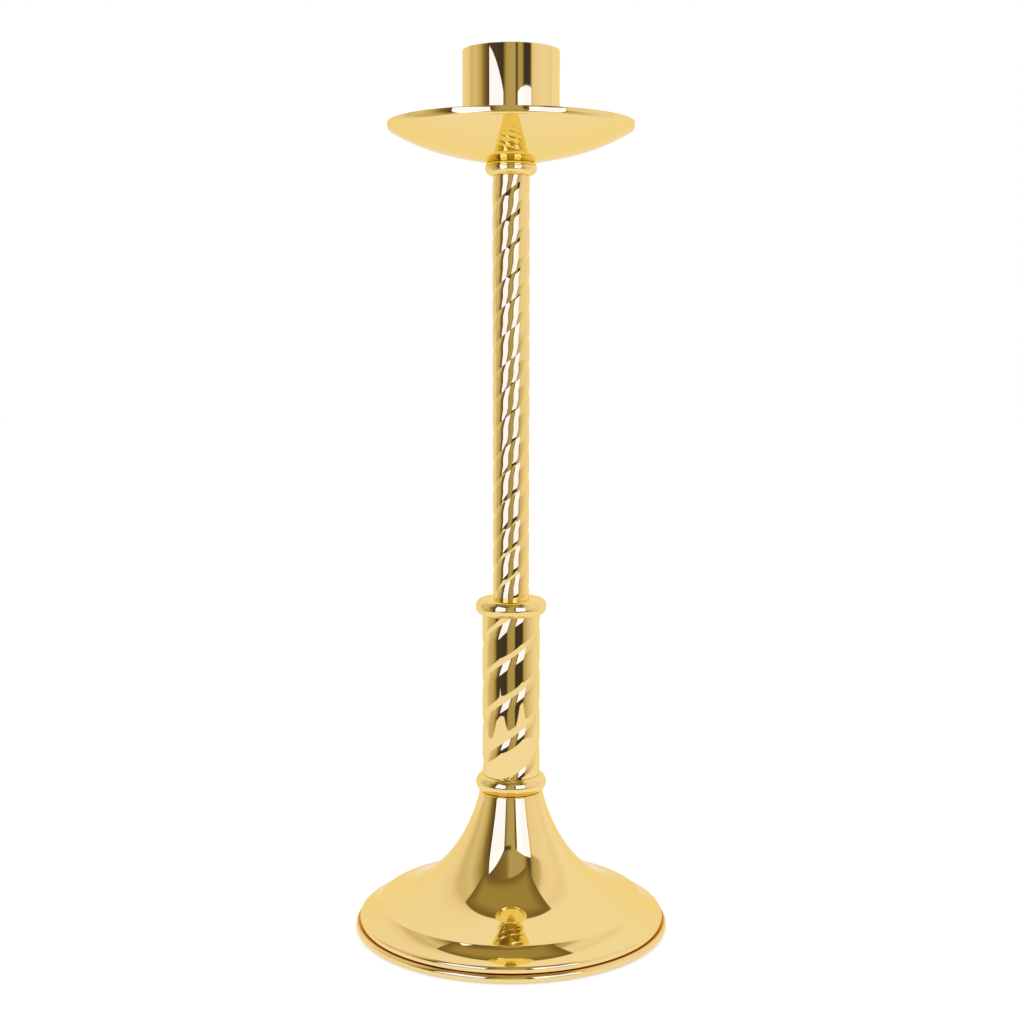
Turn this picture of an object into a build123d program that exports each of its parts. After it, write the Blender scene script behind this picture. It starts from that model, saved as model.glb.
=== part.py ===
from build123d import *
from math import asin, cos, degrees, radians, sqrt, tan
import os

# Spiral candle holder in millimetres: +Z up, origin at the centre of the felt's underside.
# A spun foot, two twisted tubes and turned collars are clamped on one tie rod.
# A drip pan and a candle socket that screws on the rod's end finish the top.

# Tie rod, 3/8 in with sixteen threads to the inch
rod_diameter = 9.525
thread_pitch = 1.5875
socket_turns = 6
rod_end_chamfer = 0.8
rod_tail = 1.0
rod_hole_clearance = 0.2
thread_clearance = 0.08

# Foot ring and felt
foot_diameter = 203.2
foot_step = 2.6
foot_bead_height = 4.9
foot_register_height = 1.2
foot_lip_thickness = 2.6
foot_lip_slant = 4.6
foot_lip_width = 5.4
foot_seat_wall = 5.3
felt_thickness = 2.0
felt_proud = 0.4
felt_edge_clearance = 0.5

# Spun base shell: a trumpet down to a ridge, a cove under it and a rounded edge
base_height = 90.0
shell_wall = 1.4
shell_neck_diameter = 41.0
shell_neck_slope = 80.0
shell_neck_handle_share = 0.188
shell_waist_run_share = 0.209
shell_waist_drop_share = 0.659
shell_flare_handle_share = 0.466
shell_ridge_inset = 13.0
shell_ridge_height = 17.85
shell_ridge_slope = 14.2
shell_cove_slope = 52.4
shell_cove_handle_share = 0.34
shell_edge_slope = 22.7
shell_edge_inside_radius = 0.8
shell_rim_height = 2.3
register_clearance = 0.3

# Cast weight in the foot
ballast_flange_thickness = 3.0
ballast_body_height = 5.0
ballast_hub_wall = 7.0
ballast_hub_roof = 8.0
ballast_edge_break = 1.0
ballast_clearance = 0.3

# Nuts and washers
nut_across_flats = 14.29
nut_height = 8.3
nut_felt_gap = 1.5
neck_nut_height = 5.6
nut_pocket_clearance = 0.5
flat_washer_diameter = 25.4
flat_washer_thickness = 1.6
lock_washer_diameter = 17.3
lock_washer_thickness = 2.4
lock_washer_gap = 2.0

# Turned collars: each bead is half an ellipse
lower_collar_diameter = 45.9
lower_collar_height = 11.2
lower_collar_bead = 5.0
upper_collar_diameter = 45.9
upper_collar_height = 10.2
upper_collar_bead = 3.9
spigot_height = 6.0
spigot_clearance = 0.1

# Twisted sleeve: groove_front is the height of a groove at the front, +X to the right
# The crest shares say how much of a lobe's upper and lower half stays round
sleeve_diameter = 37.4
sleeve_length = 105.0
sleeve_lead = 77.6
sleeve_groove_depth = 0.9
sleeve_groove_front = 154.4
sleeve_wall = 1.5
sleeve_crest_shares = (0.42, 0.63)
sleeve_lobe_shares = (1 / 3, 1 / 3, 1 / 3)

# Twisted shaft: its lobes are a little uneven, as hand-twisted tube is
shaft_diameter = 23.5
shaft_length = 267.2
shaft_lead = 52.8
shaft_groove_depth = 0.6
shaft_groove_front = 475.3
shaft_wall = 1.4
shaft_crest_shares = (0.33, 0.33)
shaft_lobe_shares = (0.31, 0.336, 0.354)

# Neck ring
neck_diameter = 32.6
neck_height = 8.1
neck_bead = 5.6
neck_bead_height = 9.8

# Spun drip pan
pan_diameter = 154.4
pan_depth = 24.4
pan_wall = 1.5
pan_rim_height = 4.0
pan_rim_corner = 3.5
pan_flat_diameter = 28.0
pan_cone_diameter = 68.0
pan_cone_slope = 11.3

# Candle socket
socket_bore = 58.2
socket_wall = 1.2
socket_rise = 68.5
socket_depth = 50.8
socket_step = 0.3
socket_rim_break = 0.3
socket_pan_gap = 0.3
floor_thickness = 1.5
floor_clearance = 0.03
boss_diameter = 18.0
tap_runout = 2.5
socket_washer_diameter = 22.0
socket_washer_thickness = 1.0

# Heights of the stack, from the table up
foot_shoulder_z = felt_proud + foot_bead_height
ballast_flange_z = felt_thickness + ballast_flange_thickness
ballast_top_z = ballast_flange_z + ballast_body_height
nut_z = felt_thickness + nut_felt_gap
lock_washer_z = nut_z + nut_height
flat_washer_z = lock_washer_z + lock_washer_thickness
recess_roof_z = flat_washer_z + flat_washer_thickness
sleeve_z = base_height + lower_collar_height
upper_collar_z = sleeve_z + sleeve_length
shaft_z = upper_collar_z + upper_collar_height
neck_z = shaft_z + shaft_length
pan_z = neck_z + neck_height
socket_washer_z = pan_z + pan_wall
boss_z = socket_washer_z + socket_washer_thickness
socket_rim_z = pan_z + socket_rise
floor_top_z = socket_rim_z - socket_depth
neck_nut_z = pan_z - neck_nut_height
rod_top_z = boss_z + socket_turns * thread_pitch
rod_bottom_z = nut_z - rod_tail

# Radii that several pieces share
rod_radius = rod_diameter / 2
rod_hole = rod_radius + rod_hole_clearance
tapped_hole = rod_radius + thread_clearance
sleeve_bore = sleeve_diameter / 2 - sleeve_groove_depth - sleeve_wall
shaft_bore = shaft_diameter / 2 - shaft_groove_depth - shaft_wall
sleeve_spigot = sleeve_bore - spigot_clearance
shaft_spigot = shaft_bore - spigot_clearance
nut_pocket = nut_across_flats / sqrt(3) + nut_pocket_clearance
foot_bead_radius = foot_bead_height / 2
foot_bead_r = foot_diameter / 2 - foot_bead_radius
shell_rim_r = foot_diameter / 2 - foot_step
register_r = shell_rim_r - shell_wall - register_clearance
lip_outer = register_r - foot_lip_slant
lip_r = lip_outer - foot_lip_width
ballast_socket_r = register_r - foot_seat_wall
socket_r = socket_bore / 2 + socket_wall

os.makedirs("parts", exist_ok=True)


def save(piece, name):
    """Labels a finished piece and writes it as its own STEP file."""
    piece.part.label = name
    export_step(piece.part, f"parts/{name}.step")


def lobed_outline(radius, depth, crest_shares, lobe_shares, first_groove):
    """Draws the closed section of a twisted tube: round crests that roll into narrow grooves."""
    groove = first_groove
    for lobe_share in lobe_shares:
        half_lobe = 360 * lobe_share / 2
        middle = groove + half_lobe
        crest_from = middle - half_lobe * crest_shares[0]
        crest_to = middle + half_lobe * crest_shares[1]
        next_groove = middle + half_lobe
        crest_start = Vector(radius, 0).rotate(Axis.Z, crest_from)
        crest_end = Vector(radius, 0).rotate(Axis.Z, crest_to)
        groove_start = Vector(radius - depth, 0).rotate(Axis.Z, groove)
        groove_end = Vector(radius - depth, 0).rotate(Axis.Z, next_groove)
        TangentArc(crest_start, groove_start, tangent=Vector(0, -1).rotate(Axis.Z, crest_from))
        ThreePointArc(crest_start, Vector(radius, 0).rotate(Axis.Z, middle), crest_end)
        TangentArc(crest_end, groove_end, tangent=Vector(0, 1).rotate(Axis.Z, crest_to))
        groove = next_groove


def groove_angle(height, groove_front, lead):
    """Angle of a groove at a height, when it crosses the front at groove_front."""
    return -90 + 360 * (height - groove_front) / lead


def spun_curve(neck, ridge, rim, edge_radius):
    """Draws one face of the spun shell: a trumpet to the ridge, a cove and a rounded edge above the rim."""
    neck_way = Vector(1, 0).rotate(Axis.Z, -shell_neck_slope)
    ridge_way = Vector(1, 0).rotate(Axis.Z, -shell_ridge_slope)
    flare = ridge - neck
    Bezier(
        neck,
        neck - neck_way * flare.Y * shell_neck_handle_share,
        neck + Vector(flare.X * shell_waist_run_share, flare.Y * shell_waist_drop_share),
        ridge - ridge_way * flare.X * shell_flare_handle_share,
        ridge,
    )
    edge = CenterArc(rim - Vector(edge_radius, 0), edge_radius, 0, 90 - shell_edge_slope)
    cove_end = edge @ 1
    cove_handle = (cove_end - ridge).length * shell_cove_handle_share
    Bezier(
        ridge,
        ridge + Vector(1, 0).rotate(Axis.Z, -shell_cove_slope) * cove_handle,
        cove_end - Vector(1, 0).rotate(Axis.Z, -shell_edge_slope) * cove_handle,
        cove_end,
    )


with BuildPart() as felt_pad:
    with BuildSketch():
        Circle(ballast_socket_r - felt_edge_clearance)
    extrude(amount=felt_thickness)
save(felt_pad, "felt_pad")

# The ring's lip holds the shell up while the weight is drawn against it from below.
with BuildPart() as foot_ring:
    with BuildSketch(Plane.XZ):
        with BuildLine():
            lip_top = ballast_flange_z + foot_lip_thickness
            Polyline(
                (foot_bead_r, felt_proud),
                (ballast_socket_r, felt_proud),
                (ballast_socket_r, ballast_flange_z),
                (lip_r, ballast_flange_z),
                (lip_r, lip_top),
                (lip_outer, lip_top),
                (register_r, foot_shoulder_z + foot_register_height),
                (register_r, foot_shoulder_z),
                (foot_bead_r, foot_shoulder_z),
            )
            ThreePointArc(
                (foot_bead_r, foot_shoulder_z),
                (foot_diameter / 2, felt_proud + foot_bead_radius),
                (foot_bead_r, felt_proud),
            )
        make_face()
    revolve(axis=Axis.Z)
save(foot_ring, "foot_ring")

with BuildPart() as base_shell:
    with BuildSketch(Plane.XZ):
        with BuildLine():
            neck = Vector(shell_neck_diameter / 2, base_height)
            ridge = Vector(shell_rim_r - shell_ridge_inset, shell_ridge_height)
            rim = Vector(shell_rim_r, foot_shoulder_z + shell_rim_height)
            neck_inside = neck - Vector(tan(radians(shell_neck_slope / 2)), 1) * shell_wall
            ridge_lean = (shell_ridge_slope + shell_cove_slope) / 2
            ridge_wall = shell_wall / cos(radians(shell_cove_slope - ridge_lean))
            ridge_inside = ridge - Vector(0, 1).rotate(Axis.Z, -ridge_lean) * ridge_wall
            rim_inside = rim - Vector(shell_wall, 0)
            spun_curve(neck, ridge, rim, shell_edge_inside_radius + shell_wall)
            spun_curve(neck_inside, ridge_inside, rim_inside, shell_edge_inside_radius)
            Polyline(rim, (rim.X, foot_shoulder_z), (rim_inside.X, foot_shoulder_z), rim_inside)
            Polyline(neck, (rod_hole, neck.Y), (rod_hole, neck_inside.Y), neck_inside)
        make_face()
    revolve(axis=Axis.Z)
save(base_shell, "base_shell")

# The weight has a flange under the ring's lip and a hub with a recess for the nut.
with BuildPart() as ballast:
    with BuildSketch(Plane.XZ):
        with BuildLine():
            recess_r = flat_washer_diameter / 2 + nut_pocket_clearance
            hub_r = recess_r + ballast_hub_wall
            hub_top_z = recess_roof_z + ballast_hub_roof
            body_r = lip_r - ballast_clearance
            flange_r = ballast_socket_r - ballast_clearance
            Polyline(
                (rod_hole, recess_roof_z),
                (rod_hole, hub_top_z),
                (hub_r, hub_top_z),
                (hub_r, ballast_top_z),
                (body_r - ballast_edge_break, ballast_top_z),
                (body_r, ballast_top_z - ballast_edge_break),
                (body_r, ballast_flange_z),
                (flange_r, ballast_flange_z),
                (flange_r, felt_thickness),
                (recess_r, felt_thickness),
                (recess_r, recess_roof_z),
                close=True,
            )
        make_face()
    revolve(axis=Axis.Z)
save(ballast, "ballast")

with BuildPart() as tie_rod:
    with BuildSketch(Plane.XY.offset(rod_bottom_z)):
        Circle(rod_radius)
    extrude(amount=rod_top_z - rod_bottom_z)
    chamfer(tie_rod.edges().filter_by(GeomType.CIRCLE), rod_end_chamfer)
save(tie_rod, "tie_rod")

with BuildPart() as flat_washer:
    with BuildSketch(Plane.XY.offset(flat_washer_z)):
        Circle(flat_washer_diameter / 2)
        Circle(rod_hole, mode=Mode.SUBTRACT)
    extrude(amount=flat_washer_thickness)
save(flat_washer, "flat_washer")

with BuildPart() as lock_washer:
    with BuildSketch(Plane.XY.offset(lock_washer_z)):
        Circle(lock_washer_diameter / 2)
        Circle(rod_hole, mode=Mode.SUBTRACT)
        Rectangle(
            lock_washer_diameter,
            lock_washer_gap,
            align=(Align.MIN, Align.CENTER),
            mode=Mode.SUBTRACT,
        )
    extrude(amount=lock_washer_thickness)
save(lock_washer, "lock_washer")

with BuildPart() as bottom_nut:
    with BuildSketch(Plane.XY.offset(nut_z)):
        RegularPolygon(nut_across_flats / 2, 6, major_radius=False)
        Circle(tapped_hole, mode=Mode.SUBTRACT)
    extrude(amount=nut_height)
save(bottom_nut, "bottom_nut")

with BuildPart() as lower_collar:
    with BuildSketch(Plane.XZ):
        with BuildLine():
            bead_r = lower_collar_diameter / 2 - lower_collar_bead
            EllipticalCenterArc(
                (bead_r, base_height + lower_collar_height / 2),
                lower_collar_bead,
                lower_collar_height / 2,
                start_angle=-90,
                arc_size=180,
            )
            Polyline(
                (bead_r, base_height),
                (rod_hole, base_height),
                (rod_hole, sleeve_z + spigot_height),
                (sleeve_spigot, sleeve_z + spigot_height),
                (sleeve_spigot, sleeve_z),
                (bead_r, sleeve_z),
            )
        make_face()
    revolve(axis=Axis.Z)
save(lower_collar, "lower_collar")

with BuildPart() as spiral_sleeve:
    with BuildLine(Plane.XY.offset(sleeve_z)) as sleeve_axis:
        Line((0, 0, 0), (0, 0, sleeve_length))
    with BuildLine(Plane.XY.offset(sleeve_z)) as sleeve_twist:
        Helix(sleeve_lead, sleeve_length, sleeve_diameter / 2)
    with BuildSketch(Plane.XY.offset(sleeve_z)):
        with BuildLine():
            lobed_outline(
                sleeve_diameter / 2,
                sleeve_groove_depth,
                sleeve_crest_shares,
                sleeve_lobe_shares,
                groove_angle(sleeve_z, sleeve_groove_front, sleeve_lead),
            )
        make_face()
    sweep(path=sleeve_axis.wire(), binormal=sleeve_twist.wire())
    with BuildSketch(Plane.XY.offset(sleeve_z)):
        Circle(sleeve_bore)
    extrude(amount=sleeve_length, mode=Mode.SUBTRACT)
save(spiral_sleeve, "spiral_sleeve")

with BuildPart() as upper_collar:
    with BuildSketch(Plane.XZ):
        with BuildLine():
            bead_r = upper_collar_diameter / 2 - upper_collar_bead
            EllipticalCenterArc(
                (bead_r, upper_collar_z + upper_collar_height / 2),
                upper_collar_bead,
                upper_collar_height / 2,
                start_angle=-90,
                arc_size=180,
            )
            Polyline(
                (bead_r, upper_collar_z),
                (sleeve_spigot, upper_collar_z),
                (sleeve_spigot, upper_collar_z - spigot_height),
                (rod_hole, upper_collar_z - spigot_height),
                (rod_hole, shaft_z + spigot_height),
                (shaft_spigot, shaft_z + spigot_height),
                (shaft_spigot, shaft_z),
                (bead_r, shaft_z),
            )
        make_face()
    revolve(axis=Axis.Z)
save(upper_collar, "upper_collar")

with BuildPart() as spiral_shaft:
    with BuildLine(Plane.XY.offset(shaft_z)) as shaft_axis:
        Line((0, 0, 0), (0, 0, shaft_length))
    with BuildLine(Plane.XY.offset(shaft_z)) as shaft_twist:
        Helix(shaft_lead, shaft_length, shaft_diameter / 2)
    with BuildSketch(Plane.XY.offset(shaft_z)):
        with BuildLine():
            lobed_outline(
                shaft_diameter / 2,
                shaft_groove_depth,
                shaft_crest_shares,
                shaft_lobe_shares,
                groove_angle(shaft_z, shaft_groove_front, shaft_lead),
            )
        make_face()
    sweep(path=shaft_axis.wire(), binormal=shaft_twist.wire())
    with BuildSketch(Plane.XY.offset(shaft_z)):
        Circle(shaft_bore)
    extrude(amount=shaft_length, mode=Mode.SUBTRACT)
save(spiral_shaft, "spiral_shaft")

# The neck bead is cut flat where the pan sits, and its pocket hides the thin nut.
with BuildPart() as neck_ring:
    with BuildSketch(Plane.XZ):
        with BuildLine():
            bead_r = neck_diameter / 2 - neck_bead
            half_height = neck_bead_height / 2
            cut_share = (neck_height - half_height) / half_height
            EllipticalCenterArc(
                (bead_r, neck_z + half_height),
                neck_bead,
                half_height,
                start_angle=-90,
                arc_size=90 + degrees(asin(cut_share)),
            )
            Polyline(
                (bead_r, neck_z),
                (shaft_spigot, neck_z),
                (shaft_spigot, neck_z - spigot_height),
                (rod_hole, neck_z - spigot_height),
                (rod_hole, neck_nut_z),
                (nut_pocket, neck_nut_z),
                (nut_pocket, pan_z),
                (bead_r + neck_bead * sqrt(1 - cut_share**2), pan_z),
            )
        make_face()
    revolve(axis=Axis.Z)
save(neck_ring, "neck_ring")

with BuildPart() as neck_nut:
    with BuildSketch(Plane.XY.offset(neck_nut_z)):
        RegularPolygon(nut_across_flats / 2, 6, major_radius=False)
        Circle(tapped_hole, mode=Mode.SUBTRACT)
    extrude(amount=neck_nut_height)
save(neck_nut, "neck_nut")

with BuildPart() as drip_pan:
    with BuildSketch(Plane.XZ):
        with BuildLine() as underside:
            cone_way = Vector(1, 0).rotate(Axis.Z, pan_cone_slope)
            cone_rise = (pan_cone_diameter - pan_flat_diameter) / 2 * tan(radians(pan_cone_slope))
            cone_end = Vector(pan_cone_diameter / 2, pan_z + cone_rise)
            corner = Vector(pan_diameter / 2, pan_z + pan_depth - pan_rim_height)
            Line((rod_hole, pan_z), (pan_flat_diameter / 2, pan_z))
            Line((pan_flat_diameter / 2, pan_z), cone_end)
            TangentArc(cone_end, corner, tangent=cone_way)
            Line(corner, (corner.X, pan_z + pan_depth))
            fillet(underside.vertices().sort_by_distance(corner)[0], pan_rim_corner)
            offset(amount=pan_wall, side=Side.LEFT)
        make_face()
    revolve(axis=Axis.Z)
save(drip_pan, "drip_pan")

with BuildPart() as socket_washer:
    with BuildSketch(Plane.XY.offset(socket_washer_z)):
        Circle(socket_washer_diameter / 2)
        Circle(rod_hole, mode=Mode.SUBTRACT)
    extrude(amount=socket_washer_thickness)
save(socket_washer, "socket_washer")

# The floor is soldered up against a step in the tube, and its boss screws on the rod.
with BuildPart() as socket_floor:
    floor_r = socket_bore / 2 + socket_step - floor_clearance
    with BuildSketch(Plane.XY.offset(floor_top_z)):
        Circle(floor_r)
    extrude(amount=-floor_thickness)
    with BuildSketch(Plane.XY.offset(boss_z)):
        Circle(boss_diameter / 2)
    extrude(amount=floor_top_z - floor_thickness - boss_z)
    with BuildSketch(Plane.XY.offset(boss_z)):
        Circle(tapped_hole)
    extrude(amount=rod_top_z - boss_z + tap_runout, mode=Mode.SUBTRACT)
save(socket_floor, "socket_floor")

with BuildPart() as socket_tube:
    pan_slope_rise = (socket_r - pan_flat_diameter / 2) * tan(radians(pan_cone_slope))
    tube_z = pan_z + pan_slope_rise + pan_wall / cos(radians(pan_cone_slope)) + socket_pan_gap
    with BuildSketch(Plane.XY.offset(tube_z)):
        Circle(socket_r)
        Circle(socket_bore / 2, mode=Mode.SUBTRACT)
    extrude(amount=socket_rim_z - tube_z)
    with BuildSketch(Plane.XY.offset(tube_z)):
        Circle(socket_bore / 2 + socket_step)
    extrude(amount=floor_top_z - tube_z, mode=Mode.SUBTRACT)
    chamfer(socket_tube.faces().sort_by(Axis.Z)[-1].edges(), socket_rim_break)
save(socket_tube, "socket_tube")
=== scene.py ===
from math import asin, atan2, cos, degrees, hypot, pi, radians, sin, tan

import bmesh
import bpy
from bpy.props import FloatProperty, FloatVectorProperty, IntProperty, PointerProperty
from bpy.types import Operator, Panel, PropertyGroup
from mathutils import Matrix, Vector


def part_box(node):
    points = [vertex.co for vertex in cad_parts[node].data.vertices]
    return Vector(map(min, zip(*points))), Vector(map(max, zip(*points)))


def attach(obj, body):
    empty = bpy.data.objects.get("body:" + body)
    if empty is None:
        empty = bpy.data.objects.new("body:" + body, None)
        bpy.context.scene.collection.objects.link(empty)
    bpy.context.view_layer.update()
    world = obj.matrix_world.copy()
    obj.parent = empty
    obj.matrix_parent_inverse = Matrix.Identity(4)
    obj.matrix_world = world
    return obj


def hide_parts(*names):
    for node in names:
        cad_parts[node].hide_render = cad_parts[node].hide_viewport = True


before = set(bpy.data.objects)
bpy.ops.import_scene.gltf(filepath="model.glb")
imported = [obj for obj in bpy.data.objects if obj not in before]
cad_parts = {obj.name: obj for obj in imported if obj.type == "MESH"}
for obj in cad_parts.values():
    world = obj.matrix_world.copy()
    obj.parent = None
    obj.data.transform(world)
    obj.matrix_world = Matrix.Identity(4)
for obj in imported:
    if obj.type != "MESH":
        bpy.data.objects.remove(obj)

bl_info = {
    "name": "Spiral Candle Holder",
    "version": (1, 0, 0),
    "blender": (4, 5, 0),
    "location": "3D View > Sidebar > Candle Holder",
    "description": "Dresses the candle holder in polished brass and sets a small studio round it",
    "category": "Object",
}

MM = 0.001
TINY = 1e-7
SHARP = radians(40)
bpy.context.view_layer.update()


# Settings

def length(name, description, default):
    """A size, given in millimetres."""
    return FloatProperty(name=name, description=description, default=default * MM, unit="LENGTH", precision=5)


def angle(name, description, default):
    """An angle, given in degrees."""
    return FloatProperty(name=name, description=description, default=radians(default), subtype="ANGLE")


def share(name, description, default):
    """A number from none to all."""
    return FloatProperty(name=name, description=description, default=default, min=0, max=1, subtype="FACTOR")


def colour(name, description, default):
    """A linear colour."""
    return FloatVectorProperty(
        name=name, description=description, default=default, subtype="COLOR", min=0, max=1
    )


def amount(name, description, default, **kind):
    """A plain number."""
    return FloatProperty(name=name, description=description, default=default, **kind)


def count(name, description, default, least):
    """A whole number."""
    return IntProperty(name=name, description=description, default=default, min=least)


class FootSizes(PropertyGroup):
    """The spun shell, the beaded ring that it stands on and the felt under it."""

    neck_radius: length("Neck radius", "Outside of the shell at its top", 20.5)
    neck_slope: angle("Neck slope", "How steeply the trumpet leaves the neck", 80)
    neck_handle: share("Neck handle", "Pull of the trumpet at the neck, of its drop", 0.188)
    waist_run: share("Waist run", "Where the trumpet is drawn in, of its run", 0.209)
    waist_drop: share("Waist drop", "Where the trumpet is drawn in, of its drop", 0.659)
    flare_handle: share("Flare handle", "Pull of the trumpet at the ridge, of its run", 0.466)
    ridge_inset: length("Ridge inset", "From the rim in to the ridge", 13.0)
    ridge_height: length("Ridge height", "Height of the ridge", 17.85)
    ridge_slope: angle("Ridge slope", "Slope of the trumpet at the ridge", 14.2)
    ridge_edge: length("Ridge edge", "Rounding of the ridge", 0.12)
    cove_slope: angle("Cove slope", "Slope of the cove at the ridge", 52.4)
    cove_handle: share("Cove handle", "Pull of the cove at both ends, of its length", 0.34)
    edge_slope: angle("Edge slope", "Slope of the cove at the rounded edge", 22.7)
    edge_radius: length("Edge radius", "Radius of the rounded edge", 2.2)
    rim_height: length("Rim height", "Straight wall above the bead", 2.3)
    wall: length("Wall", "Thickness of the spun sheet", 1.4)
    edge: length("Edge", "Rounding of the rim's lower edge", 0.8)
    neck_edge: length("Neck edge", "Rounding of the shell's top", 1.1)
    bead: length("Bead", "Height of the bead round the foot", 4.9)
    register_height: length("Register height", "How far the ring reaches up inside the shell", 1.2)
    register_gap: length("Register gap", "Play between the ring and the shell", 0.3)
    lip_slant: length("Lip slant", "From the register in to the lip", 4.6)
    lip_width: length("Lip width", "Width of the lip that the weight pulls on", 5.4)
    flange: length("Flange", "Thickness of the weight's flange", 3.0)
    flange_gap: length("Flange gap", "Play round the weight's flange", 0.3)
    ring_edge: length("Ring edge", "Rounding of the ring's edges", 0.4)
    # Painted shade: how far the brown that stands in for the crease's shade reaches over the bead
    crease: length("Crease", "Reach of the dark crease over the bead", 0.45)
    felt_edge: length("Felt edge", "Rounding of the felt's lower edge", 0.7)
    felt_top_edge: length("Felt top edge", "Rounding of the felt's upper edge", 0.2)


class TwistSizes(PropertyGroup):
    """One twisted tube: three lobes wind up it with narrow grooves between them."""

    lead: length("Lead", "Height of one whole turn", 50)
    depth: length("Groove depth", "Depth of a groove below the crest", 0.6)
    front: length("Groove front", "Height where a groove crosses the front", 100)
    wall: length("Wall", "Metal under the grooves", 1.4)
    upper_crest: share("Upper crest", "Round share of a lobe's upper half", 0.33)
    lower_crest: share("Lower crest", "Round share of a lobe's lower half", 0.33)
    lobes: FloatVectorProperty(
        name="Lobes", description="Each lobe's share of the turn", default=(1 / 3, 1 / 3, 1 / 3)
    )
    columns: count("Columns", "Faces across one lobe", 28, 6)
    row: length("Row", "Height of one row of faces", 0.9)


class CollarSizes(PropertyGroup):
    """The turned rings on the stem."""

    lower_bead: length("Lower bead", "How far the lower collar's bead bulges", 5.0)
    upper_bead: length("Upper bead", "How far the upper collar's bead bulges", 3.9)
    neck_bead: length("Neck bead", "How far the neck ring's bead bulges", 5.6)
    neck_bead_height: length("Neck bead height", "Height of the whole neck bead", 9.8)
    spigot_gap: length("Spigot gap", "Play round a collar's spigot", 0.1)
    nut_gap: length("Nut gap", "Play round the neck nut", 0.5)


class PanSizes(PropertyGroup):
    """The spun drip pan."""

    wall: length("Wall", "Thickness of the spun sheet", 1.5)
    rim: length("Rim", "Height of the upright rim", 4.0)
    corner: length("Corner", "Radius under the rim", 3.5)
    flat: length("Flat", "Radius of the flat in the middle", 14.0)
    cone: length("Cone", "Radius where the cone ends", 34.0)
    slope: angle("Slope", "Slope of the cone", 11.3)
    edge: length("Edge", "Rounding of the rim's edges", 0.35)


class SocketSizes(PropertyGroup):
    """The candle socket."""

    wall: length("Wall", "Thickness of the tube", 1.2)
    step: length("Step", "Depth of the floor's seat", 0.3)
    edge: length("Edge", "Rounding of the tube's rim", 0.45)
    foot_edge: length("Foot edge", "Rounding of the tube's bottom", 0.25)
    floor: length("Floor", "Thickness of the floor", 1.5)
    floor_edge: length("Floor edge", "Rounding of the floor's edge", 0.1)
    boss: length("Boss", "Radius of the tapped boss", 9.0)
    boss_root: length("Boss root", "Rounding of the boss's root", 0.8)
    boss_edge: length("Boss edge", "Rounding of the boss's end", 0.4)


class RodSizes(PropertyGroup):
    """The threaded rod that clamps the stack."""

    pitch: length("Pitch", "Height of one turn of the thread", 1.5875)
    thread: length("Thread", "Depth of the thread", 0.97)
    hole_gap: length("Hole gap", "Play round the rod in plain holes", 0.2)
    tap_gap: length("Tap gap", "Play round the rod in the boss", 0.08)
    tap_runout: length("Tap runout", "Tapped depth above the rod's end", 2.5)
    columns: count("Columns", "Faces round the rod", 20, 8)


class Finishes(PropertyGroup):
    """Colours and polish."""

    brass: colour("Brass", "Polished brass", (0.945, 0.812, 0.325))
    brass_warm: colour("Warm brass", "Brass under thicker lacquer", (0.930, 0.790, 0.305))
    brass_edge: colour("Brass edge", "Tint of brass seen at a low angle", (0.975, 0.905, 0.53))
    polish: share("Polish", "Roughness of the mirror polish", 0.02)
    smear: share("Smear", "How much rougher faint wiping marks are", 0.02)
    # Painted shade, not old polish: the brown that the crease over the bead is coloured, standing in for its
    # shade
    crease_shade: colour("Residue", "Old polish in the crease", (0.50, 0.24, 0.065))
    satin: share("Satin", "How much rougher the socket's inside is", 0.38)
    zinc: colour("Zinc", "Plated nuts, washers and rod", (0.60, 0.61, 0.62))
    iron: colour("Iron", "Cast weight", (0.035, 0.035, 0.038))
    felt: colour("Felt", "Felt under the foot", (0.028, 0.105, 0.045))
    fibre: colour("Fibre", "Washer under the socket", (0.30, 0.055, 0.03))


class StudioSettings(PropertyGroup):
    """Camera, lights and floor."""

    lens: amount("Lens", "Focal length in mm", 54.87, unit="CAMERA")
    sensor: amount("Sensor", "Width of the sensor in mm", 36.0, unit="CAMERA")
    tilt: angle("Tilt", "How far the camera looks down", 6.3435)
    distance: length("Distance", "From the stem to the camera", 994.35)
    eye: length("Eye", "Height of the camera", 382.7)
    aside: length("Aside", "How far the camera stands to the right", 0.6)
    panel: amount("Panel", "Brightness of the light panels next to white", 2.65)
    panel_tint: colour("Panel tint", "Colour of the panels, which brass mirrors as white", (0.39, 0.415, 1.0))
    white: colour("White", "White walls and table as the brass mirrors them", (0.95, 0.83, 0.91))
    table_reach: length("Table reach", "From the stem to the table's other edges", 500.0)
    table_front: length("Table front", "From the stem to the table's front", 530.0)
    floor_reach: length("Floor reach", "From the stem to the floor's edges", 6000.0)
    floor_glow: amount("Floor glow", "Light that the floor gives off itself", 0.25)
    dome: amount("Dome", "Brightness of the light all round", 1.3)
    floor: colour("Floor", "Pale floor", (0.80, 0.80, 0.80))


class HolderSettings(PropertyGroup):
    """All that a user would change."""

    foot: PointerProperty(type=FootSizes)
    sleeve: PointerProperty(type=TwistSizes)
    shaft: PointerProperty(type=TwistSizes)
    collars: PointerProperty(type=CollarSizes)
    pan: PointerProperty(type=PanSizes)
    socket: PointerProperty(type=SocketSizes)
    rod: PointerProperty(type=RodSizes)
    finish: PointerProperty(type=Finishes)
    studio: PointerProperty(type=StudioSettings)


# Node trees written as formulas

def fill(node, inputs):
    """Sets a node's inputs to values, or links wires to them."""
    for key, value in inputs.items():
        if isinstance(value, Wire):
            value.tree.links.new(value.socket, node.inputs[key])
        else:
            node.inputs[key].default_value = value


def sums(operation, swapped=False):
    """A method of Wire for one operator."""
    def work(wire, other):
        values = (other, wire) if swapped else (wire, other)
        return wire.maths(operation, *values)
    return work


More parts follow.
